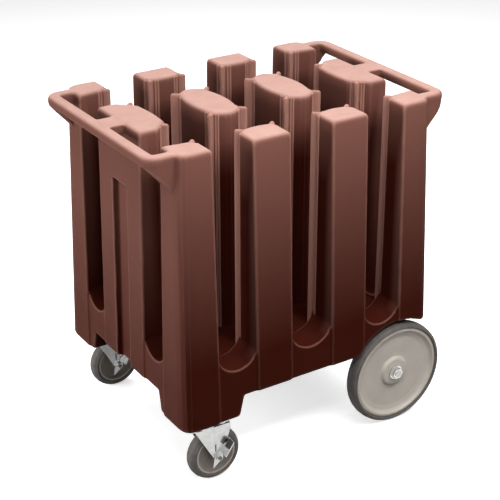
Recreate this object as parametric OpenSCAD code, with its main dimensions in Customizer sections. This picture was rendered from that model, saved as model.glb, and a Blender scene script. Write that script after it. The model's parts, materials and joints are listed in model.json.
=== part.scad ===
// Dish caddy: a one-piece hollow moulded body with twelve towers round six plate wells,
// on two fixed wheels and two braked swivel casters.
// Origin on the floor under the middle of the body. X runs from the casters to the fixed
// wheels, Y across the cart, Z up. All sizes in millimetres.

/* [Body] */
// Length of the body over its end faces, at the top
body_l = 638; // [600:1:680]
// Width of the body over its long faces, at the top
body_w = 514; // [490:1:550]
// Height of the tower tops above the floor
body_h = 788; // [730:1:880]
// Height of the well floors above the floor
well_floor_z = 270; // [264:1:300]
// Height of the slots' round bottoms over the well floors
side_sill = 4; // [2:0.5:8]
// Height of the end slots' round bottoms over the well floors
end_sill = 7; // [4:0.5:12]
// Height of the underside of the body
underside_z = 204; // [196:1:214]
// Height of the underside past the fixed wheels
tail_z = 250; // [242:1:256]
// Lean of each end face between the top and the underside
end_lean = 12; // [0:0.5:14]
// Lean of each long face between the top and the underside
side_lean = 20; // [16:0.5:24]
// Thickness of the moulded wall
wall = 6; // [4:0.5:8]
// Rounding of the tower tops
top_r = 9; // [4:0.5:12]
// Rounding of the body's lower edge
foot_r = 9; // [4:0.5:12]
// Softness of the small upright edges
edge_r = 5; // [3:0.5:6]
// Softness of the four outer corners
corner_r = 32; // [16:1:40]
// How far the towers stand proud of the panels below the slots
pilaster = 4; // [2:0.5:6]

/* [Wells] */
// Distance of the well centres from the long faces, at the top
well_side = 125; // [121:1:129]
// Distance of the outer well centres from the end faces, at the top
well_end = 126; // [122:1:130]
// Radius of the circle that the plate ribs of a well touch
well_r = 73; // [68:1:78]
// Reach of a plate rib past the corner of its tower
rib_reach = 11; // [8:0.5:14]
// Width of a plate rib
rib_w = 9; // [6:0.5:11]

/* [Towers] */
// Width of the middle slot of a long side
middle_slot_w = 104; // [94:1:110]
// Width of the other slots of a long side
slot_w = 94; // [88:1:100]
// Depth of the towers of the long sides, at the top
side_tower_d = 70; // [62:1:78]
// Width of the slots in the end faces
end_slot_w = 84; // [78:1:90]
// How far the middles of those slots lie outside the well centres
end_slot_shift = 5; // [2:0.5:8]
// Depth of the end towers
end_tower_d = 82; // [74:1:90]
// Distance of the centre towers' noses from the lines of the well centres
nose_gap = 28.5; // [24:0.5:34]
// Width of the centre towers at the ribs
mid_tower_w = 69; // [60:1:78]
// Swell of each long flank of the centre towers
flank_swell = 16; // [10:1:20]
// Swell of the other tower faces that look into the wells
swell = 5; // [2:0.5:10]
// Width of the upright groove in the end towers
groove_w = 64; // [40:1:80]
// Depth of the upright groove
groove_d = 15; // [6:1:18]
// Height of the top of the groove
groove_top_z = 647; // [560:1:680]

/* [Handles] */
// Reach of the handle rails past the end faces, at the top
rail_out = 60; // [50:1:64]
// How far the sides of the rails lie inside the long faces
rail_in = 19; // [18:1:32]
// Thickness of a rail seen from above
rail_t = 29; // [24:1:32]
// Height of a rail
rail_h = 24; // [20:1:28]
// Rounding of a rail's edges
rail_r = 8; // [4:0.5:9]
// Radius of the rails' corners over their outside
rail_corner = 32; // [30:1:44]
// Height at which the handle gussets run into the towers
gusset_z = 704; // [680:1:730]
// Width of the neck between a rail and its end tower
neck_w = 57; // [40:1:80]

/* [Fixed wheels] */
// Diameter of the fixed wheels
wheel_d = 254; // [246:1:258]
// Width of the fixed wheels' tread
wheel_w = 36; // [32:1:38]
// How far the wheels' middle planes lie outside the long faces, at the top
wheel_out = 2.5; // [0:0.5:5]
// Distance of the fixed axle from the end face, at the top
axle_from_end = 75; // [72:1:78]
// Diameter of the fixed axle
axle_d = 16; // [12:0.5:18]
// Gap between the tread and the wheel arch
arch_gap = 11; // [9:1:13]
// Depth of the wheel arches behind the body's long faces
arch_depth = 46; // [44:1:60]
// Diameter of the wheel rim inside the tyre
rim_d = 231; // [220:1:236]
// Thickness of the wheel disc
disc_t = 6; // [4:0.5:9]
// Diameter of the wheel's boss
boss_d = 66; // [50:1:74]
// Reach of the wheel's hub towards the cart from its middle plane
hub_in = 21; // [18:0.5:22]
// Reach of the wheel's hub outwards from its middle plane
hub_out = 8; // [5:0.5:9]
// Diameter of the wheel's bush over its outside
bush_d = 25; // [23:0.5:30]
// Diameter of the washers and spacers on the axle
washer_d = 34; // [31:0.5:40]
// Width of the axle nut across its flats
nut_w = 24; // [22:0.5:27]

/* [Axle brackets] */
// Thickness of the bracket steel
bracket_t = 5; // [4:0.5:7]
// Length of the bracket's foot along the cart
bracket_l = 110; // [96:1:130]
// Width of the bracket's foot across the cart
bracket_w = 42; // [36:1:50]
// Distance of the bracket cheeks from the long faces, at the top
bracket_in = 43; // [40:1:50]
// Spacing of the two bolts of a bracket
bracket_pitch = 84; // [76:1:88]

/* [Casters] */
// Diameter of the caster wheels
caster_d = 127; // [122:1:130]
// Width of the caster tread
caster_w = 32; // [28:1:34]
// Diameter of the caster wheels' rim inside the tyre
caster_rim_d = 98; // [88:1:102]
// Height of the casters up to the pads of the body
caster_h = 155; // [153:1:162]
// Distance of the caster kingpins from the end face, at the top
kingpin_from_end = 57; // [54:1:60]
// Distance of the caster kingpins from the long faces, at the top
kingpin_from_side = 21; // [19:1:25]
// Diameter of the kingpin
kingpin_d = 12; // [10:0.5:14]
// Reach of the body's feet past the kingpins, along the cart
foot_l = 72; // [70:1:80]
// Reach of the body's feet past the kingpins, across the cart
foot_w = 72; // [66:1:80]
// Slope of the feet's inner sides
foot_slope = 12; // [6:1:16]
// Distance from the kingpin to the caster's axle
trail = 22; // [18:1:28]
// Length of the caster's top plate
plate_l = 96; // [90:1:100]
// Width of the caster's top plate
plate_w = 60; // [58:1:64]
// Thickness of the caster's top plate
plate_t = 4; // [3:0.5:5]
// Thickness of the fork's sheet steel
sheet = 3; // [2:0.5:4]
// Room between the tread and each fork leg
fork_gap = 4.5; // [3:0.5:6]
// Turn of the front half of each fork leg towards the wheel
leg_turn = 4; // [0:0.5:5]
// Diameter of the ball race under the top plate
race_d = 52; // [46:1:56]
// Diameter of the bearing balls
ball_d = 6; // [5:0.5:7]
// Number of bearing balls in a race
ball_n = 16; // [10:1:18]
// Diameter of the caster's axle bolt
bolt_d = 9; // [8:0.5:10]
// Diameter of the sleeve on the axle bolt
sleeve_d = 16; // [14:0.5:20]

/* [Brakes] */
// Thickness of the brake lever
lever_t = 3; // [2:0.5:4]
// Width of the brake lever
lever_w = 17; // [16:0.5:20]
// Reach of the brake lever from the axle to the middle of its pad
lever_l = 36; // [34:1:48]
// Angle of the brake lever above the floor when it is off
lever_a = 56; // [45:1:65]
// Length of the brake pad
pad_l = 17; // [12:1:22]
// Width of the brake pad across the lever
pad_w = 13; // [10:1:16]
// Height of the brake pad over the lever
pad_t = 7; // [4:0.5:8]

/* [Fasteners] */
// Diameter of the bolts that hold the casters and the axle brackets
screw_d = 8; // [6:0.5:9]
// Length of those bolts inside the body
screw_l = 18; // [12:1:20]
// Spacing of the caster bolts along the cart
plate_hole_x = 72; // [68:1:76]
// Spacing of the caster bolts across the cart
plate_hole_y = 40; // [38:1:42]
// Running clearance of every pin and bush, on the radius
run = 0.05; // [0.02:0.01:0.1]
// Gap between faces that slide past each other
slide = 0.3; // [0.2:0.05:0.5]

/* [Hidden] */
$fn = 64;

brown = [0.36, 0.23, 0.19];
steel = [0.78, 0.78, 0.76];
taupe = [0.62, 0.58, 0.54];
rubber = [0.26, 0.24, 0.23];
black = [0.08, 0.08, 0.08];

// The places of the wells, and of the faces of the towers between them
well_y = body_w / 2 - well_side;
pitch = body_l / 2 - well_end;
side_x0 = middle_slot_w / 2;
side_x1 = pitch - slot_w / 2;
corner_x = pitch + slot_w / 2;
end_tower_w = 2 * (well_y + end_slot_shift) - end_slot_w;
mid_tower_l = 2 * (well_y - nose_gap);
// The places of the rails, the fixed wheels, their brackets and the kingpins
rail_reach = body_l / 2 + rail_out;
rail_span = body_w - 2 * rail_in;
wheel_y = body_w / 2 + wheel_out;
axle_x = body_l / 2 - axle_from_end;
bracket_y = body_w / 2 - bracket_in;
kingpin_x = body_l / 2 - kingpin_from_end;
kingpin_y = body_w / 2 - kingpin_from_side;
// The angle at which the ribs look into the wells, and the reach of a tower corner from its
// well centre, along X plus along Y
diagonal = 45;
reach = (well_r + rib_reach) * sqrt(2);
// Radius and place of the wheel arches
wheel_r = wheel_d / 2;
arch_r = wheel_r + arch_gap;
arch_y = body_w / 2 + side_lean - arch_depth;
tail_x = axle_x + sqrt(arch_r ^ 2 - (tail_z - wheel_r) ^ 2) - arch_gap;
// Thickness of the bolt heads, the axle nuts and washers, the bracket collars and the rim lips
head_h = 5;
nut_t = 9;
washer_t = 3;
collar_h = 6;
rim_in = 3;
// Casters: heights of the crown and the ball race, places of the legs and the nut
caster_r = caster_d / 2;
crown_z = caster_h - plate_t - ball_d - sheet;
ball_z = crown_z + sheet / 2 + ball_d / 2;
ball_r = race_d / 2 - ball_d;
leg_y = caster_w / 2 + fork_gap;
nut_y = leg_y + sheet + 2 * slide + lever_t + head_h;
// Radius of the caster hubs' bosses
hub_r = sleeve_d / 2 + 2 * sheet;
// Reach of the fork legs from the axle, forward and back at the crown, and round the axle
fork_front = trail + race_d / 2 + 2 * sheet;
fork_back = race_d / 2 + 2 * sheet;
fork_end = bolt_d + sheet;
fork_lip = 5 * sheet;
fork_room = 6 * sheet;
// How much larger than half a slot the radius of its round bottom is
trough_more = 3;
// How far the troughs start behind the towers' inner faces
trough_in = 8;
// Steps of a softened corner and of a rounded edge
soft_n = 4;
round_n = 3;
// A little more than nothing, so that cuts run clear of the faces that they open
eps = 1;

// Lean of the outer faces at the height z, as a share of the whole lean
function lean(z) = (body_h - z) / (body_h - underside_z);
function end_x(z) = body_l / 2 + end_lean * lean(z);
function side_y(z) = body_w / 2 + side_lean * lean(z);

function unit(v) = v / norm(v);
function spot(p) = [p[0], p[1]];
function corner(c, i) = c[(i + len(c)) % len(c)];

// Corners [x, y, softness] of an outline, moved inward by d
function inset(c, d) = [for (i = [0:len(c) - 1])
  let (p = spot(c[i]), u = unit(spot(corner(c, i - 1)) - p), v = unit(spot(corner(c, i + 1)) - p))
  let (m = unit(u + v) * d / sqrt((1 - u * v) / 2))
  [p[0] + m[0], p[1] + m[1], max(c[i][2] - d, eps)]];

// The points of an outline at the height z, each corner drawn as a curve of n steps
function ring(c, z, n = soft_n) = [for (i = [0:len(c) - 1])
  let (p = spot(c[i]), t = c[i][2])
  let (a = p + t * unit(spot(corner(c, i - 1)) - p), b = p + t * unit(spot(corner(c, i + 1)) - p))
  for (s = [0:n]) let (k = s / n, q = (1 - k) ^ 2 * a + 2 * k * (1 - k) * p + k ^ 2 * b) [q[0], q[1], z]];

// A closed solid through rings of equal length, from the lowest to the highest
module loft(rings) {
  n = len(rings[0]);
  top = (len(rings) - 1) * n;
  sides = [for (j = [0:len(rings) - 2], i = [0:n - 1])
    let (a = j * n + i, b = j * n + (i + 1) % n)
    each [[a, a + n, b], [b, a + n, b + n]]];
  polyhedron([for (r = rings) each r],
    concat([[for (i = [0:n - 1]) i]], [[for (i = [n - 1:-1:0]) top + i]], sides));
}

// Outlines of the towers at the height z, with the outer faces where the lean puts them.
// The middle tower of a long side, right of the middle
function side_tower(z) =
  let (y = side_y(z), b = body_w / 2 - side_tower_d)
  let (a0 = well_y + reach - side_x0, a1 = well_y + reach - pitch + side_x1)
  [[side_x0, -y, edge_r], [side_x1, -y, edge_r], [side_x1, -a1, edge_r], [side_x1 - a1 + b, -b, edge_r],
   [(side_x0 + side_x1) / 2, swell - b, 3 * edge_r], [side_x0 + a0 - b, -b, edge_r], [side_x0, -a0, edge_r]];

// The corner tower, at the front right
function corner_tower(z) =
  let (e = end_tower_w / 2 + end_slot_w, b = body_w / 2 - side_tower_d)
  let (a = well_y + reach - corner_x + pitch)
  [[corner_x, -side_y(z), edge_r], [end_x(z), -side_y(z), corner_r], [end_x(z), -e, edge_r],
   [corner_x + a - b, -b, edge_r], [corner_x, -a, edge_r]];

// The end tower on the right
function end_tower(z) =
  let (h = end_tower_w / 2, x = body_l / 2 - end_tower_d)
  let (a = pitch + reach - well_y + h, b = well_y - reach + x - pitch)
  [[end_x(z), -h, edge_r], [end_x(z), h, edge_r], [a, h, edge_r], [x, b, edge_r],
   [x - swell, 0, 5 * edge_r], [x, -b, edge_r], [a, -h, edge_r]];

// The centre tower, right of the middle; it doesn't lean
function centre_tower() =
  let (x = pitch / 2, h = mid_tower_w / 2, y = well_y - reach + pitch / 2 - h)
  [[x - h, -y, edge_r], [x, -mid_tower_l / 2, 6 * edge_r], [x + h, -y, edge_r],
   [x + h + flank_swell, 0, 8 * edge_r], [x + h, y, edge_r], [x, mid_tower_l / 2, 6 * edge_r],
   [x - h, y, edge_r], [x - h - flank_swell, 0, 8 * edge_r]];

// A rectangle that leans with the outer faces
function slab_outline(z) =
  let (x = end_x(z), y = side_y(z))
  [[-x, -y, corner_r], [x, -y, corner_r], [x, y, corner_r], [-x, y, corner_r]];

// The four outlines by number, so that a loft can ask for each height
function outline(kind, z) = kind == 0 ? side_tower(z) : kind == 1 ? corner_tower(z)
  : kind == 2 ? end_tower(z) : centre_tower();

// The upper part of a tower, from the level of the well floors to its rounded top
module tower(kind) {
  loft([ring(outline(kind, well_floor_z), well_floor_z),
    for (s = [0:round_n]) let (a = 90 * s / round_n, z = body_h - top_r * (1 - sin(a)))
      ring(inset(outline(kind, z), top_r * (1 - cos(a))), z)]);
}

// The sealed hollow of a tower
module tower_hollow(kind) {
  z0 = well_floor_z + wall;
  z1 = body_h - top_r;
  z2 = body_h - wall;
  loft([ring(inset(outline(kind, z0), wall), z0, 2), ring(inset(outline(kind, z1), wall), z1, 2),
    ring(inset(outline(kind, z2), top_r), z2, 2)]);
}

// The lower part of a tower, which stands proud of the panels, with its rounded foot at z0
module pilaster_foot(kind, z0) {
  loft([for (s = [0:round_n]) let (a = 90 * s / round_n, z = z0 + foot_r * (1 - cos(a)))
      ring(inset(outline(kind, z), foot_r * (1 - sin(a))), z),
    ring(outline(kind, well_floor_z), well_floor_z)]);
}

// A copy on each side of the middle, along and across the cart
module both_x() {
  children();
  mirror([1, 0, 0]) children();
}
module both_y() {
  children();
  mirror([0, 1, 0]) children();
}

// The low part of the body that joins the towers, up to z1, moved inward by d
module slab(z1, d) {
  loft([for (s = [0:round_n]) let (a = 90 * s / round_n, z = underside_z + d + foot_r * (1 - cos(a)))
      ring(inset(slab_outline(z), pilaster + d + foot_r * (1 - sin(a))), z),
    ring(inset(slab_outline(z1), pilaster + d), z1)]);
}

// The outline of the foot of the body over the front left caster, moved inward by d
function foot_outline(z, d) =
  let (s = foot_slope * (z - caster_h) / (underside_z - caster_h))
  let (x0 = pilaster - end_x(z), y0 = pilaster - side_y(z))
  let (x1 = foot_l + s - kingpin_x, y1 = foot_w + s - kingpin_y)
  inset([[x0, y0, corner_r], [x1, y0, edge_r], [x1, y1, 2 * edge_r], [x0, y1, edge_r]], d);

module foot(d, z0) {
  z1 = underside_z + foot_r + wall;
  loft([for (s = [0:round_n]) let (a = 90 * s / round_n, z = z0 + foot_r * (1 - cos(a)))
      ring(foot_outline(z, d + foot_r * (1 - sin(a))), z),
    ring(foot_outline(z1, d), z1)]);
}

// A plate rib at the corner of a tower, towards the well at [x, -well_y], at the angle a
module rib(x, a) {
  h = body_h - rib_w / 4 - well_floor_z;
  translate([x, -well_y, well_floor_z]) rotate([0, 0, a]) translate([well_r + rib_w / 2, 0, 0]) {
    cylinder(d = rib_w, h = h);
    translate([0, -rib_w / 2, 0]) cube([rib_reach + edge_r / 2, rib_w, h]);
  }
}

// The fillets of a round-bottomed trough of the width w between two towers.
// z is its lowest point; it runs outward along X from x0
module trough(w, z, x0) {
  r = w / 2 + trough_more;
  top = z + r - sqrt(r ^ 2 - (w / 2) ^ 2) + eps;
  l = body_l;
  difference() {
    translate([x0, -w / 2 - wall / 2, well_floor_z - eps]) cube([l, w + wall, top - well_floor_z + eps]);
    translate([x0 - eps, 0, z + r]) rotate([0, 90, 0]) cylinder(r = r, h = l + 2 * eps);
  }
}

module troughs() {
  z0 = well_floor_z - 2 * eps;
  z1 = well_floor_z + slot_w;
  y0 = body_w / 2 - side_tower_d + trough_in;
  intersection() {
    loft([ring(inset(slab_outline(z0), pilaster), z0), ring(inset(slab_outline(z1), pilaster), z1)]);
    both_y() both_x() {
      rotate([0, 0, -90]) trough(middle_slot_w, well_floor_z + side_sill, y0);
      translate([pitch, 0, 0]) rotate([0, 0, -90])
        trough(slot_w, well_floor_z + side_sill, y0);
      translate([0, -(end_tower_w + end_slot_w) / 2, 0])
        trough(end_slot_w, well_floor_z + end_sill, body_l / 2 - end_tower_d + 2 * trough_in);
    }
  }
}

// The section of a rail, as offsets outward and upward from its middle
rail_section = [for (q = [0:3], s = [0:round_n])
  let (a = 90 * (q + s / round_n), u = q < 2 ? 1 : -1, v = q == 0 || q == 3 ? 1 : -1)
  [u * (rail_t / 2 - rail_r) + rail_r * sin(a), v * (rail_h / 2 - rail_r) + rail_r * cos(a)]];

function rail_ring(x, y, a) = [for (p = rail_section)
  [x + p[0] * cos(a), y + p[0] * sin(a), body_h - rail_h / 2 - eps / 2 + p[1]]];

// The outline of a rail seen from above, filled in as far as the end face
module rail_plan() hull() {
  for (s = [-1, 1]) translate([rail_reach - rail_corner, s * (rail_span / 2 - rail_corner)])
    circle(r = rail_corner - eps, $fn = 8 * round_n);
  translate([body_l / 2 - rail_t, eps - rail_span / 2]) square([eps, rail_span - 2 * eps]);
}

// The rail at the right end, with its neck and the wedges under its sides
module rail() {
  x0 = body_l / 2 - rail_t;
  xc = rail_reach - rail_corner;
  yc = rail_span / 2 - rail_corner;
  r = rail_corner - rail_t / 2;
  y0 = yc + r;
  turn = [for (s = [0:2 * round_n]) 45 * s / round_n];
  loft(concat([rail_ring(x0, -y0, -90)],
    [for (a = turn) rail_ring(xc + r * sin(a), -yc - r * cos(a), a - 90)],
    [for (a = turn) rail_ring(xc + r * cos(a), yc + r * sin(a), a)],
    [rail_ring(x0, y0, 90)]));
  intersection() {
    both_y() wedge(-rail_span / 2 + eps, rail_t - 2 * eps, body_h - rail_h / 2);
    linear_extrude(body_h) rail_plan();
  }
  translate([x0, -neck_w / 2, body_h - rail_h + rail_r / 2])
    cube([rail_reach - rail_t / 2 - x0, neck_w, rail_h - rail_r / 2 - 2 * eps]);
}

// A wedge under a rail from y along Y, with its top at z
module wedge(y, w, z) {
  x0 = body_l / 2 - rail_t;
  x1 = rail_reach - eps;
  translate([0, y + w, 0]) rotate([90, 0, 0]) linear_extrude(w)
    polygon([[x0, z], [rail_reach - rail_t / 2, z], [x1, body_h - rail_h / 2],
      [x1, body_h - rail_h + rail_r / 2], [end_x(gusset_z) - pilaster, gusset_z - pilaster],
      [x0, gusset_z - pilaster]]);
}

// The upright groove in the end tower on the right, grown by d
module groove(d) {
  z0 = caster_h;
  z1 = groove_top_z + d;
  h = groove_w / 2 + d;
  loft([for (z = [z0, z1]) let (x0 = end_x(z) - groove_d - d, x1 = end_x(z) + groove_d)
    [[x0, -h, z], [x1, -h, z], [x1, h, z], [x0, h, z]]]);
}

// The room for the fixed wheels, and the step up behind them, grown by d
module wheel_room(d) {
  both_y() translate([axle_x, d - arch_y, wheel_r]) rotate([90, 0, 0])
    cylinder(r = arch_r + d, h = body_w / 2);
  translate([tail_x - d, -body_w, 0]) cube([body_l, 2 * body_w, tail_z + d]);
}

// The places of the bolts of the casters and of the brackets, over the whole cart
module at_caster_bolts() {
  for (s = [-1, 1], x = [-1, 1], y = [-1, 1])
    translate([x * plate_hole_x / 2 - kingpin_x, s * kingpin_y + y * plate_hole_y / 2, caster_h]) children();
}
module at_bracket_bolts() {
  for (s = [-1, 1], x = [-1, 1])
    translate([axle_x + x * bracket_pitch / 2, s * (bracket_y - bracket_w / 2), underside_z]) children();
}

// The sealed hollow inside the base
module base_hollow() {
  difference() {
    union() {
      slab(well_floor_z - wall, wall);
      both_y() foot(wall, caster_h + screw_l + wall);
    }
    both_x() groove(wall);
    wheel_room(wall);
    at_bracket_bolts() cylinder(d = 3 * screw_d, h = well_floor_z - underside_z);
  }
}

// The moulding is one piece; its base, towers and rails are drawn apart and meet face to face.
// The base takes in the well floors, the troughs between the towers and the feet
module body_base() color(brown) difference() {
  union() {
    slab(well_floor_z, 0);
    troughs();
    both_x() {
      both_y() pilaster_foot(0, underside_z + eps / 2);
      pilaster_foot(2, underside_z + eps / 2);
    }
    both_y() {
      pilaster_foot(1, underside_z + eps / 2);
      mirror([1, 0, 0]) pilaster_foot(1, caster_h + eps / 2);
      foot(0, caster_h);
    }
  }
  both_x() {
    both_y() {
      tower(0);
      tower(1);
    }
    tower(2);
  }
  both_x() groove(0);
  wheel_room(0);
  base_hollow();
  at_caster_bolts() translate([0, 0, -eps]) cylinder(r = screw_d / 2 + run, h = screw_l + 2 * eps);
  at_bracket_bolts() translate([0, 0, -eps]) cylinder(r = screw_d / 2 + run, h = screw_l + 2 * eps);
}

module side_towers() color(brown) both_x() both_y() difference() {
  union() {
    tower(0);
    rib(0, -diagonal);
    rib(pitch, diagonal - 180);
  }
  tower_hollow(0);
}

module corner_towers() color(brown) both_x() both_y() difference() {
  union() {
    tower(1);
    rib(pitch, -diagonal);
  }
  tower_hollow(1);
}

module end_towers() color(brown) both_x() difference() {
  union() {
    tower(2);
    both_y() rib(pitch, diagonal);
  }
  difference() {
    tower_hollow(2);
    groove(wall);
  }
  groove(0);
}

module centre_towers() color(brown) both_x() difference() {
  union() {
    tower(3);
    both_y() {
      rib(0, diagonal);
      rib(pitch, 180 - diagonal);
    }
  }
  tower_hollow(3);
}

module handle_rails() color(brown) both_x() difference() {
  rail();
  both_y() tower(1);
  tower(2);
}

// Fixed axle and its brackets; s is the side, -1 right and 1 left of the cart
axle_end = wheel_y + hub_out + slide + washer_t + nut_t + 2 * eps;
module at_axle(s, y) {
  translate([axle_x, s * y, wheel_r]) rotate([-90 * s, 0, 0]) children();
}

module axle() color(steel) translate([axle_x, -axle_end, wheel_r]) rotate([-90, 0, 0])
  cylinder(d = axle_d, h = 2 * axle_end);

module axle_bracket(s) color(steel) {
  r = axle_d / 2 + 2.5 * bracket_t;
  difference() {
    union() {
      translate([axle_x - bracket_l / 2, s * bracket_y - bracket_t / 2 - (s > 0 ? bracket_w : 0),
        underside_z - bracket_t]) cube([bracket_l, bracket_w + bracket_t, bracket_t]);
      translate([axle_x, s * bracket_y + bracket_t / 2, 0]) rotate([90, 0, 0]) linear_extrude(bracket_t)
        polygon([[-bracket_l / 2, underside_z - bracket_t / 2], [bracket_l / 2, underside_z - bracket_t / 2],
          [r, wheel_r], [-r, wheel_r]]);
      at_axle(s, bracket_y - bracket_t / 2) cylinder(r = r, h = bracket_t);
      at_axle(s, bracket_y) cylinder(r = axle_d / 2 + bracket_t, h = bracket_t / 2 + collar_h);
    }
    at_axle(s, bracket_y - 2 * bracket_t) cylinder(d = axle_d, h = 4 * bracket_t);
    at_bracket_bolts() translate([0, 0, -bracket_t - eps])
      cylinder(r = screw_d / 2 + run, h = bracket_t + 2 * eps);
  }
}

// A bolt with its head at the bottom and its shank upward, from the face that the head meets
module bolt(d, l, head) {
  cylinder(d = d, h = l);
  translate([0, 0, -head_h]) cylinder(d = head, h = head_h, $fn = 6);
}

module bracket_bolts() color(steel) at_bracket_bolts() translate([0, 0, -bracket_t])
  bolt(screw_d, bracket_t + screw_l, 1.8 * screw_d);

module caster_bolts() color(steel) at_caster_bolts() translate([0, 0, -plate_t])
  bolt(screw_d, plate_t + screw_l, 1.8 * screw_d);

// Fixed wheels: profiles are drawn with the radius along X and the outward side along Y
module wheel_disc(s) color(taupe) at_axle(s, wheel_y) rotate_extrude($fn = 96) {
  b = bush_d / 2;
  o = boss_d / 2;
  r = rim_d / 2;
  w = wheel_w / 2 - rim_in;
  polygon([[b, -hub_in], [o - 2 * disc_t, -hub_in], [o - disc_t, -disc_t], [r - 3 * disc_t, -disc_t / 2],
    [r - disc_t, -w], [r, -w], [r, w - rim_in], [r - rim_in, w], [r - 2 * rim_in, w],
    [r - 3 * rim_in, w - rim_in], [r - 2 * disc_t, disc_t], [r - 4 * disc_t, disc_t],
    [o + disc_t, disc_t / 2], [o, hub_out - rim_in / 2], [o - rim_in, hub_out], [b, hub_out]]);
}

module tread(r0, r1, w) {
  k = w / 9;
  rotate_extrude($fn = 96) polygon([[r0, k - w / 2], [r0 + k, -w / 2], [r1 - 2 * k, -w / 2],
    [r1 - k / 2, 1.5 * k - w / 2], [r1, 3 * k - w / 2], [r1, w / 2 - 3 * k],
    [r1 - k / 2, w / 2 - 1.5 * k], [r1 - 2 * k, w / 2], [r0 + k, w / 2], [r0, w / 2 - k]]);
}

module wheel_tyre(s) color(rubber) at_axle(s, wheel_y) tread(rim_d / 2, wheel_r, wheel_w);

module tube(ro, ri, h) difference() {
  cylinder(r = ro, h = h);
  translate([0, 0, -eps]) cylinder(r = ri, h = h + 2 * eps);
}

module wheel_bush(s) color(steel) at_axle(s, wheel_y - hub_in)
  tube(bush_d / 2, axle_d / 2 + run, hub_in + hub_out);

module wheel_spacer(s) {
  y = bracket_y + bracket_t / 2 + collar_h;
  color(steel) at_axle(s, y) tube(washer_d / 2, axle_d / 2, wheel_y - hub_in - slide - y);
}

module wheel_washer(s) color(steel) at_axle(s, wheel_y + hub_out + slide)
  tube(washer_d / 2, axle_d / 2, washer_t);

module wheel_nut(s) color(steel) at_axle(s, wheel_y + hub_out + slide + washer_t) difference() {
  cylinder(d = nut_w / cos(30), h = nut_t, $fn = 6);
  translate([0, 0, -eps]) cylinder(d = axle_d, h = nut_t + 2 * eps);
}

// Casters: each piece is drawn at the kingpin, with the wheel trailing towards +X and the
// brake on the right-hand side, and then set in its place
module at_caster(s) translate([-kingpin_x, s * kingpin_y, 0]) children();
module at_wheel(y) translate([trail, y, caster_r]) rotate([-90, 0, 0]) children();

module caster_plate(s) color(steel) at_caster(s) difference() {
  translate([-plate_l / 2, -plate_w / 2, caster_h - plate_t]) cube([plate_l, plate_w, plate_t]);
  translate([0, 0, caster_h - plate_t - eps]) cylinder(d = kingpin_d, h = plate_t + 2 * eps);
  for (x = [-1, 1], y = [-1, 1])
    translate([x * plate_hole_x / 2, y * plate_hole_y / 2, caster_h - plate_t - eps])
      cylinder(r = screw_d / 2 + run, h = plate_t + 2 * eps);
}

// One ring of the ball race, between two heights, with its groove
module race_ring(z0, z1) difference() {
  translate([0, 0, z0]) cylinder(d = race_d, h = z1 - z0);
  translate([0, 0, z0 - eps]) cylinder(r = kingpin_d / 2 + run, h = z1 - z0 + 2 * eps);
  translate([0, 0, ball_z]) rotate_extrude() translate([ball_r, 0]) circle(r = ball_d / 2 + run, $fn = 32);
}

module caster_race(s) color(steel) at_caster(s) race_ring(ball_z + slide, caster_h - plate_t);

module caster_balls(s) color(steel) at_caster(s) for (i = [0:ball_n - 1])
  rotate([0, 0, 360 * i / ball_n]) translate([ball_r, 0, ball_z]) sphere(d = ball_d, $fn = 32);

module caster_kingpin(s) color(steel) at_caster(s) {
  z = crown_z - sheet - slide;
  translate([0, 0, z]) cylinder(d = kingpin_d, h = caster_h - z);
  translate([0, 0, z - head_h]) cylinder(d = 1.8 * kingpin_d, h = head_h);
}

// The plan of a fork leg, on the left-hand side, from its back to its front; ahead of the hub
// it turns in towards the wheel. d is the distance from the leg's inner face
function leg_plan(d) = [[fork_back, leg_y + d], [-hub_r, leg_y + d],
  [-fork_front, leg_y + d - (fork_front - hub_r) * tan(leg_turn)]];

// The leg is cut from that plan by its side view, which narrows from the crown to the axle
module fork_leg() translate([trail, 0, 0]) intersection() {
  linear_extrude(crown_z) polygon(concat(leg_plan(0), [for (i = [2:-1:0]) leg_plan(sheet)[i]]));
  union() {
    translate([0, leg_y + 2 * sheet, 0]) rotate([90, 0, 0]) linear_extrude(fork_room)
      polygon([[fork_back, crown_z + eps], [fork_back, crown_z - fork_lip], [fork_end, caster_r],
        [0, caster_r - fork_end], [-fork_end, caster_r], [-fork_front, crown_z - sheet],
        [-fork_front, crown_z + eps]]);
    translate([0, leg_y + 2 * sheet, caster_r]) rotate([90, 0, 0])
      cylinder(r = fork_end, h = fork_room);
  }
}

module caster_fork(s) color(steel) at_caster(s) difference() {
  union() {
    both_y() fork_leg();
    translate([trail, 0, crown_z - sheet]) linear_extrude(sheet)
      polygon(concat(leg_plan(sheet), [for (i = [2:-1:0]) [leg_plan(sheet)[i][0], -leg_plan(sheet)[i][1]]]));
    race_ring(crown_z - sheet / 2, ball_z - slide);
  }
  translate([0, 0, crown_z - 2 * sheet]) cylinder(r = kingpin_d / 2 + run, h = 3 * sheet);
  at_wheel(-leg_y - 2 * sheet) cylinder(d = bolt_d, h = 2 * leg_y + 4 * sheet);
  translate([trail - sheet, 0, caster_r + fork_end + sheet]) rotate([90, 0, 0])
    linear_extrude(leg_y + 3 * sheet) translate([-1.5 * sheet, 0]) square([sheet, 6 * sheet]);
}

module caster_bolt(s) color(steel) at_caster(s) at_wheel(-nut_y - 2 * eps) {
  cylinder(d = bolt_d, h = nut_y + 2 * eps + leg_y + sheet);
  translate([0, 0, nut_y + 2 * eps + leg_y + sheet]) cylinder(d = 1.8 * bolt_d, h = head_h, $fn = 6);
}

module caster_nut(s) color(steel) at_caster(s) at_wheel(-nut_y) difference() {
  cylinder(d = 1.8 * bolt_d, h = head_h, $fn = 6);
  translate([0, 0, -eps]) cylinder(d = bolt_d, h = head_h + 2 * eps);
}

module caster_sleeve(s) color(steel) at_caster(s) at_wheel(-leg_y)
  tube(sleeve_d / 2, bolt_d / 2, 2 * leg_y);

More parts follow.
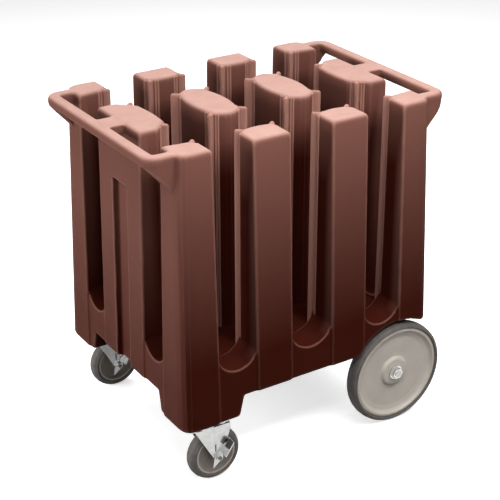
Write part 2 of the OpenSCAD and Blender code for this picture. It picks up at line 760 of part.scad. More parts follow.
module caster_hub(s) color(taupe) at_caster(s) at_wheel(0) rotate_extrude() {
  b = sleeve_d / 2 + run;
  h = leg_y - 2 * slide;
  o = hub_r;
  r = caster_rim_d / 2;
  w = caster_w / 2 - rim_in;
  polygon([[b, -h], [o, -h], [o + sheet, -2 * sheet], [r - 3 * sheet, -2 * sheet], [r - 2 * sheet, -w],
    [r, -w], [r, w], [r - 2 * sheet, w], [r - 3 * sheet, 2 * sheet], [o + sheet, 2 * sheet], [o, h],
    [b, h]]);
}

module caster_tyre(s) color(rubber) at_caster(s) at_wheel(0)
  tread(caster_rim_d / 2, caster_r, caster_w);

// The lever is drawn along X, flat at the axle, and then turned up to its place
module at_lever() translate([trail, -leg_y - sheet - slide, caster_r]) rotate([0, -lever_a, 0]) children();

module brake_lever(s) color(steel) at_caster(s) at_lever() difference() {
  h = lever_w / 2;
  tail = 1.6 * lever_w;
  x1 = lever_l + pad_l / 2 + 2 * eps;
  union() {
    rotate([90, 0, 0]) linear_extrude(lever_t)
      polygon([[-tail, -h / 3], [-h, -h], [x1, -h], [x1, -h + lever_t], [h, h], [-h, h], [-tail, 0]]);
    translate([h, -lever_t - pad_w, -h]) cube([x1 - h, pad_w + eps, lever_t]);
  }
  translate([0, eps, 0]) rotate([90, 0, 0]) cylinder(r = bolt_d / 2 + run, h = lever_t + 2 * eps);
}

module brake_pad(s) color(black) at_caster(s) at_lever()
  translate([lever_l - pad_l / 2, -lever_t - pad_w, lever_t - lever_w / 2]) cube([pad_l, pad_w, pad_t]);

body_base();
corner_towers();
side_towers();
end_towers();
centre_towers();
handle_rails();
axle();
axle_bracket(-1);  // axle_bracket_right
axle_bracket(1);  // axle_bracket_left
bracket_bolts();
caster_bolts();
wheel_disc(-1);  // wheel_disc_right
wheel_tyre(-1);  // wheel_tyre_right
wheel_bush(-1);  // wheel_bush_right
wheel_spacer(-1);  // wheel_spacer_right
wheel_washer(-1);  // wheel_washer_right
wheel_nut(-1);  // wheel_nut_right
wheel_disc(1);  // wheel_disc_left
wheel_tyre(1);  // wheel_tyre_left
wheel_bush(1);  // wheel_bush_left
wheel_spacer(1);  // wheel_spacer_left
wheel_washer(1);  // wheel_washer_left
wheel_nut(1);  // wheel_nut_left
caster_plate(-1);  // caster_plate_right
caster_race(-1);  // caster_race_right
caster_balls(-1);  // caster_balls_right
caster_kingpin(-1);  // caster_kingpin_right
caster_fork(-1);  // caster_fork_right
caster_bolt(-1);  // caster_bolt_right
caster_nut(-1);  // caster_nut_right
caster_sleeve(-1);  // caster_sleeve_right
caster_hub(-1);  // caster_hub_right
caster_tyre(-1);  // caster_tyre_right
brake_lever(-1);  // brake_lever_right
brake_pad(-1);  // brake_pad_right
caster_plate(1);  // caster_plate_left
caster_race(1);  // caster_race_left
caster_balls(1);  // caster_balls_left
caster_kingpin(1);  // caster_kingpin_left
caster_fork(1);  // caster_fork_left
caster_bolt(1);  // caster_bolt_left
caster_nut(1);  // caster_nut_left
caster_sleeve(1);  // caster_sleeve_left
caster_hub(1);  // caster_hub_left
caster_tyre(1);  // caster_tyre_left
brake_lever(1);  // brake_lever_left
brake_pad(1);  // brake_pad_left
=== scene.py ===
"""The looks of the dish caddy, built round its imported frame.

Lengths are in metres. The floor is at z = 0, X points to the fixed wheels and Y to the left-hand side.
"""

import json
import math

import bmesh
import bpy
from mathutils import Matrix, Vector


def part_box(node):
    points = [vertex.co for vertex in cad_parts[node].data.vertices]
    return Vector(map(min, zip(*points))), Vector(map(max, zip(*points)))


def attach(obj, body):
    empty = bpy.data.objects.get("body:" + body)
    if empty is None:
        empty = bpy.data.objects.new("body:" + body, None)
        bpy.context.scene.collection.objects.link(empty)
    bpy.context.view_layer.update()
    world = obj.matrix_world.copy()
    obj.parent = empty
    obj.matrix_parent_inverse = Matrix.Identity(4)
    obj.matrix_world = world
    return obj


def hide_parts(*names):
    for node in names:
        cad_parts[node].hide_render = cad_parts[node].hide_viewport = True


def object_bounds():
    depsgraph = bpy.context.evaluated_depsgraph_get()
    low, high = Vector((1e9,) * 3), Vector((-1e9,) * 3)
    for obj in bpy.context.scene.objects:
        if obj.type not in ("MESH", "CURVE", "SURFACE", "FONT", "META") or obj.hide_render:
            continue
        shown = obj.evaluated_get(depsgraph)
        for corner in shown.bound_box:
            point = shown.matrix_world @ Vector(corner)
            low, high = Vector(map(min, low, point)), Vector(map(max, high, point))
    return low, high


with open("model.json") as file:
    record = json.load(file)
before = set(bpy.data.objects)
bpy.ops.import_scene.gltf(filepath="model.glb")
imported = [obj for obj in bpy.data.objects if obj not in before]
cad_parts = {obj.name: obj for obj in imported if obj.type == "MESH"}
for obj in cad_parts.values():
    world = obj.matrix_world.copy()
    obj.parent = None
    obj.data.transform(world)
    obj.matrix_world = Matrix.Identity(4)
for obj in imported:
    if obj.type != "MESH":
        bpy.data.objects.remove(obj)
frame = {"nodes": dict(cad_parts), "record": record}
CAD_LOW, CAD_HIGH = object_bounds()
NODES = frame["nodes"]
SCENE = bpy.context.scene
SCENE.view_settings.view_transform = "Standard"

Y, Z = 1, 2
SIDES = (("right", -1), ("left", 1))
BODY_NODES = ("body_base", "corner_towers", "side_towers", "end_towers", "centre_towers", "handle_rails")


# Camera
CAMERA_PLACE = (-1.5162, -2.3853, 1.7682)
CAMERA_YAW, CAMERA_PITCH, CAMERA_ROLL = 0.5693, 0.4506, -0.002
FOCAL_LENGTH = 2.69412  # in picture widths
SENSOR_WIDTH = 36
VIEW_DEPTH = 50


def set_camera():
    """The photograph's own viewpoint, found from points on the cart."""
    level = math.cos(CAMERA_PITCH)
    ahead = Vector((level * math.sin(CAMERA_YAW), level * math.cos(CAMERA_YAW), -math.sin(CAMERA_PITCH)))
    right = Vector((math.cos(CAMERA_YAW), -math.sin(CAMERA_YAW), 0))
    up = right.cross(ahead)
    turn = Matrix((right, up, -ahead)).transposed() @ Matrix.Rotation(CAMERA_ROLL, 3, "Z")
    data = bpy.data.cameras.new("camera")
    data.sensor_width = SENSOR_WIDTH
    data.lens = FOCAL_LENGTH * SENSOR_WIDTH
    data.clip_end = VIEW_DEPTH
    camera = bpy.data.objects.new("camera", data)
    camera.matrix_world = Matrix.Translation(CAMERA_PLACE) @ turn.to_4x4()
    SCENE.collection.objects.link(camera)
    SCENE.camera = camera


set_camera()


# Materials
BROWN = (0.040, 0.0060, 0.0030)
BROWN_MOTTLE = (0.047, 0.0080, 0.0045)
# The next three colours are painted light: lit outer walls, a painted highlight on the tops and a painted
# highlight on the edges
BROWN_PAINTED_LIGHT = (0.158, 0.067, 0.051)
BROWN_PAINTED_HIGHLIGHT = (0.375, 0.226, 0.190)
BROWN_PAINTED_EDGE_HIGHLIGHT = (0.30, 0.150, 0.118)

# The moulding gets painted light outside these distances from its middle, and over these heights
OUTER_X, OUTER_Y = (0.280, 0.302), (0.236, 0.256)
WALLS_Z, ENDS_Z, TOWERS_Z = (0.30, 0.80), (0.24, 0.56), (0.64, 0.80)
TOPS_Z, EDGES_Z = (0.70, 0.76), (0.1, 0.7)
# How squarely a face has to look along the cart, or up, and how sharp an edge has to be
FACING_END, FACING_UP, EDGE_SHARP = (0.6, 1), (0.35, 0.95), (0.507, 0.550)
# The least and most of each painted light and painted highlight colour
ENDS_PAINTED_LIGHT, TOPS_HIGHLIGHT_SHARE, EDGE_HIGHLIGHT_SHARE, EDGES_UP = (0.30, 0.85), (0.82, 1), (0, 0.85), (0.55, 1)

# The stretches of a noise that are spread over a whole change of colour or gloss
MOTTLE_SPAN, TOPS_HIGHLIGHT_SPAN, SCUFF_SPAN = (0.35, 0.65), (0.25, 0.6), (0.42, 0.72)
BLOOM_SPAN, GLOSS_SPAN = (0.35, 0.7), (0.3, 0.7)
ZINC_DULL = 0.82
BRUSHED = (1, 1, 6)


class Paint:
    """A small helper that builds one node material."""

    def __init__(self, name, color, rough, metallic=0.0, **values):
        self.mat = bpy.data.materials.new(name)
        self.mat.use_nodes = True
        self.tree = self.mat.node_tree
        self.bsdf = self.tree.nodes["Principled BSDF"]
        self.color = (*color, 1)
        self.bsdf.inputs["Base Color"].default_value = self.color
        self.bsdf.inputs["Roughness"].default_value = rough
        self.bsdf.inputs["Metallic"].default_value = metallic
        for key, value in values.items():
            self.bsdf.inputs[key].default_value = value
        self.coords = self.tree.nodes.new("ShaderNodeTexCoord").outputs["Object"]
        self.normal = None

    def link(self, a, b):
        self.tree.links.new(a, b)

    def noise(self, scale, detail, rough, stretch=None):
        source = self.coords
        if stretch:
            mapping = self.tree.nodes.new("ShaderNodeMapping")
            mapping.inputs["Scale"].default_value = stretch
            self.link(source, mapping.inputs["Vector"])
            source = mapping.outputs["Vector"]
        node = self.tree.nodes.new("ShaderNodeTexNoise")
        node.inputs["Scale"].default_value = scale
        node.inputs["Detail"].default_value = detail
        node.inputs["Roughness"].default_value = rough
        self.link(source, node.inputs["Vector"])
        return node.outputs["Fac"]

    def split(self, vector):
        """The x, y and z of a vector."""
        node = self.tree.nodes.new("ShaderNodeSeparateXYZ")
        self.link(vector, node.inputs[0])
        return [node.outputs[axis] for axis in "XYZ"]

    def remap(self, value, span, result=(0, 1)):
        """Spreads one span of a value over another, and holds it at the ends."""
        node = self.tree.nodes.new("ShaderNodeMapRange")
        node.inputs["From Min"].default_value, node.inputs["From Max"].default_value = span
        node.inputs["To Min"].default_value, node.inputs["To Max"].default_value = result
        self.link(value, node.inputs["Value"])
        return node.outputs["Result"]

    def maths(self, operation, *values):
        node = self.tree.nodes.new("ShaderNodeMath")
        node.operation = operation
        for value, socket in zip(values, node.inputs):
            self.link(value, socket)
        return node.outputs[0]

    def size_of(self, value):
        return self.maths("ABSOLUTE", value)

    def product(self, a, b):
        return self.maths("MULTIPLY", a, b)

    def highest(self, a, b):
        return self.maths("MAXIMUM", a, b)

    def mix_color(self, fac, other, start=None):
        """Moves the colour so far, or the plain colour, towards another by a factor."""
        node = self.tree.nodes.new("ShaderNodeMix")
        node.data_type = "RGBA"
        colors = [s for s in node.inputs if s.type == "RGBA"]
        colors[0].default_value = self.color
        colors[1].default_value = (*other, 1)
        if start:
            self.link(start, colors[0])
        self.link(fac, node.inputs["Factor"])
        out = [s for s in node.outputs if s.type == "RGBA"][0]
        self.link(out, self.bsdf.inputs["Base Color"])
        return out

    def vary_rough(self, fac, low, high):
        self.link(self.remap(fac, GLOSS_SPAN, (low, high)), self.bsdf.inputs["Roughness"])

    def bump(self, height, strength, distance):
        """Adds a bump on top of those before it."""
        node = self.tree.nodes.new("ShaderNodeBump")
        node.inputs["Strength"].default_value = strength
        node.inputs["Distance"].default_value = distance
        self.link(height, node.inputs["Height"])
        if self.normal:
            self.link(self.normal, node.inputs["Normal"])
        self.normal = node.outputs["Normal"]
        self.link(self.normal, self.bsdf.inputs["Normal"])


def body_paint():
    """Dark brown polyethylene with painted light on the outer faces, the tower tops and the rails, and
    painted highlights on the tops and the edges.
    """
    p = Paint("moulded_brown", BROWN, rough=0.55, IOR=1.08)
    color = p.mix_color(p.remap(p.noise(7, 4, 0.55), MOTTLE_SPAN), BROWN_MOTTLE)
    geometry = p.tree.nodes.new("ShaderNodeNewGeometry")
    facing_x, _, facing_z = p.split(geometry.outputs["Normal"])
    x, y, z = p.split(p.coords)
    # Painted light: the outer walls grow paler higher up, the outer end faces are paler from low down, and
    # every face near the tower tops is paler
    ends = p.product(p.remap(p.size_of(facing_x), FACING_END), p.remap(z, ENDS_Z, ENDS_PAINTED_LIGHT))
    outside = p.highest(p.remap(p.size_of(y), OUTER_Y), p.remap(p.size_of(x), OUTER_X))
    walls = p.product(outside, p.highest(p.remap(z, WALLS_Z), ends))
    color = p.mix_color(p.highest(walls, p.remap(z, TOWERS_Z)), BROWN_PAINTED_LIGHT, color)
    # Painted highlight on the up-facing tops, broken up by noise
    tops = p.product(p.remap(facing_z, FACING_UP), p.remap(z, TOPS_Z))
    top_highlight = p.product(tops, p.remap(p.noise(24, 4, 0.6), TOPS_HIGHLIGHT_SPAN, TOPS_HIGHLIGHT_SHARE))
    color = p.mix_color(top_highlight, BROWN_PAINTED_HIGHLIGHT, color)
    # Painted highlight along sharp convex edges, stronger higher up
    edges = p.remap(geometry.outputs["Pointiness"], EDGE_SHARP, EDGE_HIGHLIGHT_SHARE)
    p.mix_color(p.product(edges, p.remap(z, EDGES_Z, EDGES_UP)), BROWN_PAINTED_EDGE_HIGHLIGHT, color)
    p.vary_rough(p.noise(30, 3, 0.6), 0.52, 0.66)
    p.bump(p.noise(9, 2, 0.5), strength=0.35, distance=0.0012)
    p.bump(p.noise(420, 2, 0.5), strength=0.22, distance=0.0006)
    return p.mat


def nylon_paint(name, color, other):
    """Satin moulded nylon, faintly mottled."""
    p = Paint(name, color, rough=0.42)
    p.mix_color(p.remap(p.noise(18, 3, 0.6), MOTTLE_SPAN), other)
    p.vary_rough(p.noise(60, 3, 0.6), 0.36, 0.5)
    p.bump(p.noise(700, 2, 0.5), strength=0.15, distance=0.0004)
    return p.mat


def rubber_paint(name, color, scuff):
    """Matt rubber with scuffed patches."""
    p = Paint(name, color, rough=0.62)
    p.mix_color(p.remap(p.noise(55, 5, 0.65), SCUFF_SPAN), scuff)
    p.vary_rough(p.noise(90, 3, 0.6), 0.55, 0.75)
    p.bump(p.noise(900, 2, 0.6), strength=0.3, distance=0.0004)
    return p.mat


def zinc_paint(name, color, low, high):
    """Zinc-plated steel with a cloudy bloom and fine drawn lines."""
    p = Paint(name, color, rough=low, metallic=1.0)
    p.mix_color(p.remap(p.noise(80, 4, 0.7), BLOOM_SPAN), tuple(ZINC_DULL * c for c in color))
    p.vary_rough(p.noise(160, 4, 0.6), low, high)
    p.bump(p.noise(350, 3, 0.6, stretch=BRUSHED), strength=0.12, distance=0.0003)
    return p.mat


# The record's material slots, and two paints for pieces that look different from their slot
PAINTS = {
    "body_plastic": body_paint(),
    "wheel_plastic": nylon_paint("wheel_nylon", (0.50, 0.445, 0.39), (0.55, 0.495, 0.435)),
    "tyre_rubber": rubber_paint("tyre_rubber", (0.075, 0.066, 0.060), (0.115, 0.102, 0.092)),
    "pad_rubber": rubber_paint("pad_rubber", (0.016, 0.015, 0.015), (0.04, 0.038, 0.036)),
    "plated_steel": zinc_paint("zinc_bright", (0.66, 0.66, 0.65), 0.16, 0.26),
    "plain_steel": zinc_paint("zinc_satin", (0.50, 0.49, 0.47), 0.28, 0.40),
    "dark_steel": zinc_paint("dark_steel", (0.16, 0.155, 0.15), 0.26, 0.38),
    "hub_plastic": nylon_paint("hub_nylon", (0.20, 0.165, 0.14), (0.25, 0.21, 0.18)),
}
SLOT_OF = {row["node"]: row["material_slot"] for row in frame["record"]["subparts"]}


# Mesh helpers
WELD = 1e-6
BEVEL_STEPS = 2
EDGE_SHARE = 0.48  # the most of an outline's edge that one rounded corner takes
LEAST_ANGLE = 1e-3
LATHE_SHARP = 35


def new_piece(name, verts, faces, paint, sharp):
    """A closed object from lists of points and faces, smooth up to a sharp angle in degrees."""
    mesh = bpy.data.meshes.new(name)
    mesh.from_pydata([tuple(v) for v in verts], [], faces)
    bm = bmesh.new()
    bm.from_mesh(mesh)
    bmesh.ops.remove_doubles(bm, verts=bm.verts, dist=WELD)
    bmesh.ops.recalc_face_normals(bm, faces=bm.faces)
    bm.to_mesh(mesh)
    bm.free()
    obj = bpy.data.objects.new(name, mesh)
    SCENE.collection.objects.link(obj)
    mesh.materials.append(PAINTS[paint])
    mesh.polygons.foreach_set("use_smooth", [True] * len(mesh.polygons))
    mesh.set_sharp_from_angle(angle=math.radians(sharp))
    return obj


def apply_modifiers(obj):
    graph = bpy.context.evaluated_depsgraph_get()
    mesh = bpy.data.meshes.new_from_object(obj.evaluated_get(graph))
    obj.modifiers.clear()
    old = obj.data
    obj.data = mesh
    bpy.data.meshes.remove(old)


def bevel(obj, width, angle):
    """Rounds the edges that are sharper than an angle in degrees."""
    mod = obj.modifiers.new("bevel", "BEVEL")
    mod.width = width
    mod.segments = BEVEL_STEPS
    mod.limit_method = "ANGLE"
    mod.angle_limit = math.radians(angle)
    mod.harden_normals = False


def mirrored(points):
    """A whole profile from the outward half of it; the inward half comes first."""
    return [(r, -t, rounding) for r, t, rounding in points] + points[::-1]


def soften(points, steps):
    """A closed outline of (radius, outward, rounding) points, with each corner rounded by its own amount."""
    spots = [Vector(point[:2]) for point in points]
    out = []
    for i, p in enumerate(spots):
        rounding = points[i][2]
        if rounding <= 0:
            out.append(tuple(p))
            continue
        a = spots[i - 1] - p
        b = spots[(i + 1) % len(spots)] - p
        half = a.angle(b) / 2
        cut = rounding / math.tan(half) if half > LEAST_ANGLE else rounding
        cut = min(cut, EDGE_SHARE * a.length, EDGE_SHARE * b.length)
        a = p + a.normalized() * cut
        b = p + b.normalized() * cut
        for s in range(steps + 1):
            k = s / steps
            out.append(tuple((1 - k) ** 2 * a + 2 * k * (1 - k) * p + k * k * b))
    return out


def lathe(name, profile, centre, paint, segments, out):
    """Turns a closed (radius, outward) profile round the Y line through the centre; out is outward's sign."""
    verts, faces = [], []
    n = len(profile)
    for j in range(segments):
        a = 2 * math.pi * j / segments
        for r, t in profile:
            verts.append((centre[0] + r * math.cos(a), centre[1] + out * t, centre[2] + r * math.sin(a)))
    for j in range(segments):
        k = (j + 1) % segments
        for i in range(n):
            m = (i + 1) % n
            faces.append((j * n + i, j * n + m, k * n + m, k * n + i))
    return new_piece(name, verts, faces, paint, LATHE_SHARP)


def centre_of(node):
    low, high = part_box(node)
    return [(a + b) / 2 for a, b in zip(low, high)]


def half_size(node, axis):
    low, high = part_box(node)
    return (high[axis] - low[axis]) / 2


# Body skin
VOXEL = 0.0025
SMOOTH_STEPS = 4
SMOOTH_FACTOR = 0.5


def shell_round(face, seen):
    """The faces joined to one face, and six times the volume that they hold, negative for a hollow."""
    shell, stack, volume = [], [face], 0.0
    seen.add(face.index)
    while stack:
        f = stack.pop()
        shell.append(f)
        c = f.verts[0].co
        for i in range(1, len(f.verts) - 1):
            volume += c.dot(f.verts[i].co.cross(f.verts[i + 1].co))
        for edge in f.edges:
            for g in edge.link_faces:
                if g.index not in seen:
                    seen.add(g.index)
                    stack.append(g)
    return shell, volume


def outer_shell(name):
    """The outside of a CAD node's solids, without the faces of their sealed hollows."""
    bm = bmesh.new()
    bm.from_mesh(NODES[name].data)
    bmesh.ops.remove_doubles(bm, verts=bm.verts, dist=WELD)
    bm.faces.ensure_lookup_table()
    seen = set()
    drop = []
    for face in bm.faces:
        if face.index not in seen:
            shell, volume = shell_round(face, seen)
            if volume < 0:
                drop += shell
    bmesh.ops.delete(bm, geom=drop, context="FACES")
    mesh = bpy.data.meshes.new("outer")
    bm.to_mesh(mesh)
    bm.free()
    return mesh


def make_skin():
    """The whole moulding as one softened skin over the six CAD nodes that it replaces."""
    mesh = bpy.data.meshes.new("body_skin")
    bm = bmesh.new()
    for name in BODY_NODES:
        part = outer_shell(name)
        bm.from_mesh(part)
        bpy.data.meshes.remove(part)
    bm.to_mesh(mesh)
    bm.free()
    skin = bpy.data.objects.new("body_skin", mesh)
    SCENE.collection.objects.link(skin)
    remesh = skin.modifiers.new("remesh", "REMESH")
    remesh.mode = "VOXEL"
    remesh.voxel_size = VOXEL
    smooth = skin.modifiers.new("smooth", "SMOOTH")
    smooth.factor = SMOOTH_FACTOR
    smooth.iterations = SMOOTH_STEPS
    apply_modifiers(skin)
    skin.data.materials.clear()
    skin.data.materials.append(PAINTS["body_plastic"])
    skin.data.polygons.foreach_set("use_smooth", [True] * len(skin.data.polygons))
    skin.data.update()
    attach(skin, "chassis")
    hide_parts(*BODY_NODES)
    return skin


SKIN = make_skin()


# Plate ribs
WELL_X, WELL_Y = (-0.193, 0, 0.193), (-0.132, 0.132)
WELL_R = 0.0695
FLOOR_Z, TOP_Z = 0.270, CAD_HIGH[Z]
SINK = 0.002
CORNERS = (45, 135, 225, 315)  # the ways from a well's middle to the four towers round it, in degrees
TOP_STEPS = 4
RIB_SHARP = 50

RIB_W, RIB_DEPTH = 0.0114, 0.028
RIB_DROP, RIB_SOFT = 0.0004, 0.0052
NOSE_STEP = 15

# The reeds stand where level rays from inside a well meet the wall of a tower
REED_PLACES, REED_R = (-0.0092, 0.0092, 0.0146, -0.0146), 0.0029
REED_DROP, REED_SOFT, REED_INSET = 0.0035, 0.0022, 0.0014
REED_STEP = 30
RAY_START, RAY_REACH, RAY_Z = 0.05, 0.07, 0.6
LEAST_FACING = 0.35


def upright(verts, faces, centre, along, plan, top, soft):
    """An upright bar with a rounded top; plan(inset) gives its outline as (along, across) offsets."""
    across = Vector((-along.y, along.x))
    n = len(plan(0))
    first = len(verts)
    rings = [(0.0, FLOOR_Z - SINK)]
    for s in range(TOP_STEPS + 1):
        a = math.radians(90 * s / TOP_STEPS)
        rings.append((soft * (1 - math.cos(a)), top - soft * (1 - math.sin(a))))
    for inset, z in rings:
        for u, v in plan(inset):
            spot = centre + along * u + across * v
            verts.append((spot.x, spot.y, z))
    for j in range(len(rings) - 1):
        for i in range(n):
            m = (i + 1) % n
            a = first + j * n
            faces.append((a + i, a + m, a + n + m, a + n + i))
    faces.append(tuple(first + i for i in range(n - 1, -1, -1)))
    faces.append(tuple(first + (len(rings) - 1) * n + i for i in range(n)))


def rib_plan(inset):
    """A rounded nose towards the well, and a straight stem back into the tower."""
    half = RIB_W / 2 - inset
    nose = [(WELL_R + RIB_W / 2 - half * math.cos(a), half * math.sin(a))
            for a in map(math.radians, range(-90, 91, NOSE_STEP))]
    return nose + [(WELL_R + RIB_DEPTH, half), (WELL_R + RIB_DEPTH, -half)]


def reed_plan(inset):
    """A thin round bar."""
    r = REED_R - inset
    return [(r * math.cos(a), r * math.sin(a)) for a in map(math.radians, range(0, 360, REED_STEP))]


def add_reeds(verts, faces, centre, along):
    """Fine reeds beside one rib, on the tower walls that face the well."""
    across = Vector((-along.y, along.x))
    level = Vector((*along, 0))
    for offset in REED_PLACES:
        start = centre + across * offset + along * RAY_START
        hit, spot, normal, _ = SKIN.ray_cast(Vector((*start, RAY_Z)), level, distance=RAY_REACH)
        if hit and -normal.dot(level) > LEAST_FACING:
            foot = Vector(spot.xy) + along * REED_INSET
            upright(verts, faces, foot, along, reed_plan, TOP_Z - REED_DROP, REED_SOFT)


def make_ribs():
    """The upright ribs that hold the plates, with reeds beside them."""
    verts, faces = [], []
    for x in WELL_X:
        for y in WELL_Y:
            centre = Vector((x, y))
            for a in map(math.radians, CORNERS):
                along = Vector((math.cos(a), math.sin(a)))
                upright(verts, faces, centre, along, rib_plan, TOP_Z - RIB_DROP, RIB_SOFT)
                add_reeds(verts, faces, centre, along)
    piece = new_piece("well_ribs", verts, faces, "body_plastic", RIB_SHARP)
    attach(piece, "chassis")


make_ribs()


# Wheels
TREAD_CROWN, TREAD_EDGE = 0.009, 0.002  # how far below the tread a tyre's flank and its shoulder start
RIM_INSET = 0.003
WHEEL_STEPS, CASTER_STEPS = 160, 96
CASTER_BORE = 0.00805


def tyre_outline(rim, radius, half, lip, shoulder, tread, tread_round, steps):
    """A tyre's section: lip at the rim, flank, shoulder, and the flat of the tread."""
    return soften(mirrored([
        (rim, half - lip, 0),
        (rim + lip, half, lip / 2),
        (radius - TREAD_CROWN, half, 0.006),
        (radius - TREAD_EDGE, half - shoulder, 0.005),
        (radius, half - tread, tread_round),
    ]), steps)


def make_wheel(side, sign):
    """A dished nylon disc with a raised hub, and its rubber tyre."""
    body = "wheel_" + side
    centre = centre_of("wheel_tyre_" + side)
    radius = half_size("wheel_tyre_" + side, Z)
    half = half_size("wheel_tyre_" + side, Y)
    rim = half_size("wheel_disc_" + side, Z)
    bore = half_size("wheel_bush_" + side, Z)
    hub_ends = [sign * (end[Y] - centre[Y]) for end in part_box("wheel_bush_" + side)]
    hub_in, hub_out = min(hub_ends), max(hub_ends)
    face = half - RIM_INSET
    back = [(bore, hub_in, 0), (0.021, hub_in, 0.001), (0.026, -0.008, 0.002), (rim - 0.020, -0.006, 0.004)]
    edge = [
        (rim - 0.006, -face, 0.002), (rim, -face, 0), (rim, face - 0.002, 0.001), (rim - 0.003, face, 0.0015),
        (rim - 0.0075, face, 0.002), (rim - 0.011, face - 0.005, 0.003),
    ]
    dish = [(rim - 0.015, 0.007, 0.004), (rim - 0.026, 0.0045, 0.01), (0.048, 0.0015, 0.02)]
    hub = [(0.0385, 0.0015, 0.004), (0.034, 0.0065, 0.003), (0.031, hub_out, 0.0015), (bore, hub_out, 0)]
    disc = soften(back + edge + dish + hub, steps=5)
    piece = lathe("disc_" + side, disc, centre, "wheel_plastic", WHEEL_STEPS, sign)
    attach(piece, body)
    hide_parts("wheel_disc_" + side)
    tyre = tyre_outline(rim, radius, half, lip=0.003, shoulder=0.004, tread=0.013, tread_round=0.01, steps=6)
    piece = lathe("tyre_" + side, tyre, centre, "tyre_rubber", WHEEL_STEPS, sign)
    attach(piece, body)
    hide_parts("wheel_tyre_" + side)


def make_caster(side, sign):
    """A caster's dark hub with a bright ring on each face, and its rubber tyre."""
    body = "caster_wheel_" + side
    centre = centre_of("caster_tyre_" + side)
    radius = half_size("caster_tyre_" + side, Z)
    half = half_size("caster_tyre_" + side, Y)
    rim = half_size("caster_hub_" + side, Z)
    hub_half = half_size("caster_hub_" + side, Y)
    face = half - RIM_INSET
    hub = soften(mirrored([
        (CASTER_BORE, hub_half, 0), (0.0135, hub_half, 0.001), (0.0165, 0.007, 0.003),
        (rim - 0.0095, 0.0055, 0.004), (rim - 0.005, face, 0.002), (rim, face, 0),
    ]), steps=4)
    piece = lathe("hub_" + side, hub, centre, "hub_plastic", CASTER_STEPS, sign)
    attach(piece, body)
    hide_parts("caster_hub_" + side)
    inner, outer, low, high, rounding = rim - 0.0042, rim - 0.0005, face - 0.001, face + 0.0012, 0.0008
    lip = [(inner, low, rounding), (outer, low, rounding), (outer, high, rounding), (inner, high, rounding)]
    for face_side, outward in SIDES:
        ring = lathe("hub_lip_%s_%s" % (side, face_side), soften(lip, steps=3), centre,
                     "wheel_plastic", CASTER_STEPS, outward)
        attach(ring, body)
    tyre = tyre_outline(rim, radius, half, lip=0.002, shoulder=0.006, tread=0.012, tread_round=0.006, steps=5)
    piece = lathe("caster_rubber_" + side, tyre, centre, "tyre_rubber", CASTER_STEPS, sign)
    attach(piece, body)
    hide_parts("caster_tyre_" + side)


for side, sign in SIDES:
    make_wheel(side, sign)


# Brake pads
PAD_LEAN = 56
PAD_L, PAD_W, PAD_T = 0.017, 0.013, 0.007
PAD_RIDGES = 5
PAD_SHOULDER, GROOVE = 0.0006, 0.0012
RIDGE_SHARES = (0.14, 0.32, 0.5, 0.68, 0.86)
PAD_SHARP, PAD_BEVEL, PAD_BEVEL_ANGLE = 35, 0.0006, 50


def pad_outline():
    """A pad seen from its side, as (along, out) points, with its ridges on the outer face."""
    end, face = PAD_L / 2, PAD_T / 2
    outline = [(end, PAD_SHOULDER), (end, -face), (-end, -face), (-end, PAD_SHOULDER)]
    pitch = PAD_L / PAD_RIDGES
    for i in range(PAD_RIDGES):
        start = i * pitch - end
        for k in RIDGE_SHARES:
            outline.append((start + pitch * k, GROOVE + (face - GROOVE) * math.sin(math.pi * k)))
    return outline


def make_pad(side):
    """A black pedal pad with ridges across it, standing up from the brake lever."""
    centre = Vector(centre_of("brake_pad_" + side))
    lean = math.radians(PAD_LEAN)
    along = Vector((math.cos(lean), 0, math.sin(lean)))
    out = Vector((-along.z, 0, along.x))
    outline = pad_outline()
    n = len(outline)
    verts = []
    for w in (-PAD_W / 2, PAD_W / 2):
        verts += [centre + along * u + out * v + Vector((0, w, 0)) for u, v in outline]
    faces = [tuple(range(n)), tuple(range(2 * n - 1, n - 1, -1))]
    faces += [(i, (i + 1) % n, n + (i + 1) % n, n + i) for i in range(n)]
    piece = new_piece("pad_" + side, verts, faces, "pad_rubber", PAD_SHARP)
    bevel(piece, PAD_BEVEL, PAD_BEVEL_ANGLE)
    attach(piece, "brake_" + side)
    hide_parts("brake_pad_" + side)


for side, sign in SIDES:
    make_caster(side, sign)
    make_pad(side)


# CAD nodes that stay in view
NODE_BEVEL, NODE_BEVEL_ANGLE = 0.0005, 30


def dress_nodes():
    """A paint and fine bevels on every node that isn't part of the moulding; the caster bolts are darker."""
    for name, obj in NODES.items():
        if name in BODY_NODES:
            continue
        paint = "dark_steel" if name.startswith("caster_bolt_") else SLOT_OF[name]
        obj.data.materials.clear()
        obj.data.materials.append(PAINTS[paint])
        bevel(obj, NODE_BEVEL, NODE_BEVEL_ANGLE)


dress_nodes()


# Stage and light
FLOOR_HALF = 12
FLOOR_ROUGH = 0.9
FLOOR_SHOWN, FLOOR_UNSEEN = (0.9, 0.9, 0.9, 1), (0.12, 0.12, 0.12, 1)
FLOOR_GLOW = 0.62
WHITE = (1, 1, 1, 1)
WORLD_LIGHT, WORLD_SHOWN = 0.10, 1.0

# Each lamp's name, place, aim, size and power in watts
LAMPS = (
    ("top", (0.5, 1.3, 2.7), (0, 0, 0.8), (2.4, 2.0), 110),
    ("left", (-2.1, 0.45, 0.9), (0, 0.1, 0.45), (1.1, 1.1), 38),
    ("front", (-0.05, -0.95, 1.47), (-0.05, -0.25, 0.66), (1.9, 0.35), 25),
    ("low", (1.2, -2.4, 0.7), (0.2, 0, 0.2), (1.2, 0.9), 6),
)


def seen_rays(tree):
    """The factor of rays from the camera, and that of rays from the camera or a glossy surface."""
    path = tree.nodes.new("ShaderNodeLightPath")
    shown = tree.nodes.new("ShaderNodeMath")
    shown.operation = "MAXIMUM"
    tree.links.new(path.outputs["Is Camera Ray"], shown.inputs[0])
    tree.links.new(path.outputs["Is Glossy Ray"], shown.inputs[1])
    return path.outputs["Is Camera Ray"], shown.outputs[0]


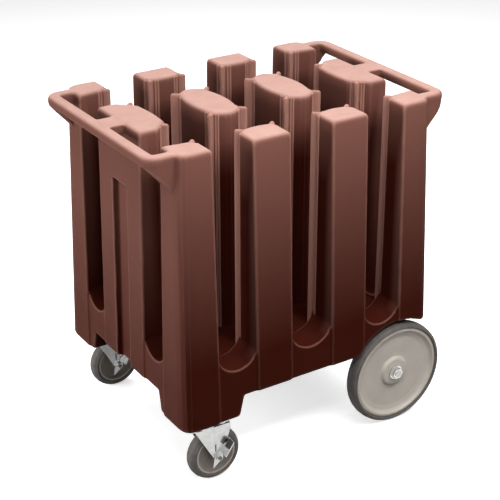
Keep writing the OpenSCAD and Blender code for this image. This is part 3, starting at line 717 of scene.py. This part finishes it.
def floor_paint():
    """White where it is seen, and dim as a light on the object."""
    mat = bpy.data.materials.new("floor")
    mat.use_nodes = True
    tree = mat.node_tree
    bsdf = tree.nodes["Principled BSDF"]
    bsdf.inputs["Roughness"].default_value = FLOOR_ROUGH
    bsdf.inputs["Specular IOR Level"].default_value = 0.0
    camera_ray, shown = seen_rays(tree)
    mix = tree.nodes.new("ShaderNodeMix")
    mix.data_type = "RGBA"
    colors = [s for s in mix.inputs if s.type == "RGBA"]
    colors[0].default_value = FLOOR_UNSEEN
    colors[1].default_value = FLOOR_SHOWN
    tree.links.new(shown, mix.inputs["Factor"])
    tree.links.new([s for s in mix.outputs if s.type == "RGBA"][0], bsdf.inputs["Base Color"])
    glow = tree.nodes.new("ShaderNodeMath")
    glow.operation = "MULTIPLY"
    glow.inputs[1].default_value = FLOOR_GLOW
    tree.links.new(camera_ray, glow.inputs[0])
    bsdf.inputs["Emission Color"].default_value = WHITE
    tree.links.new(glow.outputs[0], bsdf.inputs["Emission Strength"])
    return mat


def make_floor():
    mesh = bpy.data.meshes.new("floor")
    corners = [(FLOOR_HALF * u, FLOOR_HALF * v, 0) for u, v in ((-1, -1), (1, -1), (1, 1), (-1, 1))]
    mesh.from_pydata(corners, [], [(0, 1, 2, 3)])
    mesh.materials.append(floor_paint())
    floor = bpy.data.objects.new("floor", mesh)
    SCENE.collection.objects.link(floor)


def make_world():
    """A white background that lights the object only faintly."""
    world = bpy.data.worlds.new("world")
    SCENE.world = world
    world.use_nodes = True
    tree = world.node_tree
    back = tree.nodes["Background"]
    back.inputs["Color"].default_value = WHITE
    _, shown = seen_rays(tree)
    level = tree.nodes.new("ShaderNodeMapRange")
    level.inputs["To Min"].default_value = WORLD_LIGHT
    level.inputs["To Max"].default_value = WORLD_SHOWN
    tree.links.new(shown, level.inputs["Value"])
    tree.links.new(level.outputs["Result"], back.inputs["Strength"])


def add_lamp(name, place, aim, size, power):
    """A soft rectangle of light that the camera doesn't see."""
    data = bpy.data.lights.new(name, "AREA")
    data.shape = "RECTANGLE"
    data.size, data.size_y = size
    data.energy = power
    obj = bpy.data.objects.new(name, data)
    obj.location = place
    obj.rotation_euler = (Vector(aim) - Vector(place)).to_track_quat("-Z", "Y").to_euler()
    obj.visible_camera = False
    SCENE.collection.objects.link(obj)


make_floor()
make_world()
for row in LAMPS:
    add_lamp(*row)
